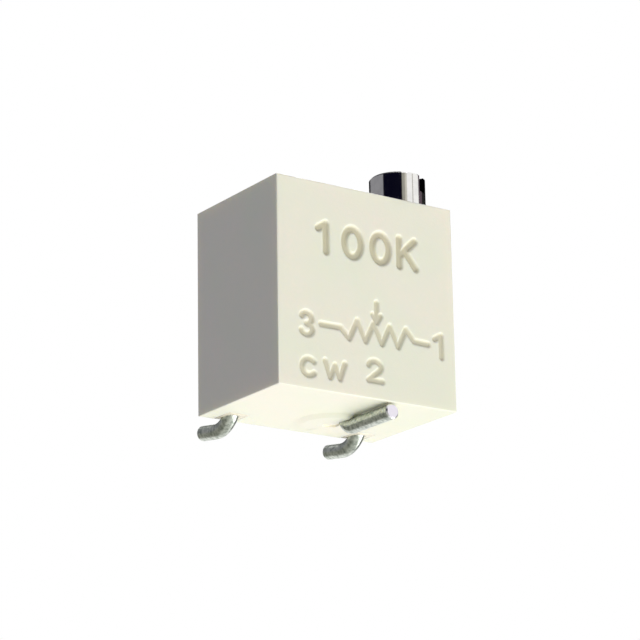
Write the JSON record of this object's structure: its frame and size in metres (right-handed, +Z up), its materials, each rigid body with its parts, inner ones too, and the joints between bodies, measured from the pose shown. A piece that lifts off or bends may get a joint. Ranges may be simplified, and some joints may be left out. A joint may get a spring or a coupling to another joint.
{
  "type": "trimmer potentiometer",
  "caption": "Square sealed trimmer potentiometer with a slotted adjustment screw on top and round J-bent surface-mount leads.",
  "frame": {"origin": "on the circuit board, under the middle of the footprint", "axes": "+Z up from the board along the adjustment screw, +X to the right along the marked face, +Y from the marked face to the back"},
  "size_m": [0.007, 0.006, 0.0088],
  "materials": {
    "housing_plastic": "moulded, satin",
    "epoxy": "poured",
    "plated_screw": "turned brass, nickel plated",
    "o_ring_rubber": "moulded",
    "clip_steel": "stamped",
    "rotor_plastic": "moulded",
    "spring_alloy": "stamped",
    "brush_alloy": "drawn wire",
    "alumina": "fired ceramic",
    "resistive_film": "printed and fired",
    "conductor_film": "printed and fired",
    "tinned_wire": "tinned",
    "solder": "reflowed"
  },
  "bodies": {
    "case": {"housing": "housing_plastic", "rear_seal": "epoxy", "retaining_clip": "clip_steel", "ceramic_plate": "alumina", "resistive_track": "resistive_film", "collector_track": "conductor_film", "end_termination_1": "conductor_film", "end_termination_3": "conductor_film", "terminal_1": "tinned_wire", "terminal_2": "tinned_wire", "terminal_3": "tinned_wire", "solder_1": "solder", "solder_2": "solder", "solder_3": "solder"},
    "screw": {"adjustment_screw": "plated_screw", "screw_o_ring": "o_ring_rubber"},
    "rotor": {"rotor_gear": "rotor_plastic", "wiper_spring": "spring_alloy", "wiper_brush": "brush_alloy"}
  },
  "joints": [
    {"name": "screw_turn", "type": "hinge", "parent": "case", "child": "screw", "pos_m": [0.00225, -0.00177, 0.00407], "axis": [0, 0, 1], "range_deg": [-2160, 2160]},
    {"name": "rotor_turn", "type": "hinge", "parent": "case", "child": "rotor", "pos_m": [-0.00045, -0.00177, 0.00407], "axis": [0, 1, 0], "range_deg": [-144, 144]}
  ],
  "couplings": [
    {"joint": "rotor_turn", "follows": "screw_turn", "ratio": 0.066667}
  ]
}
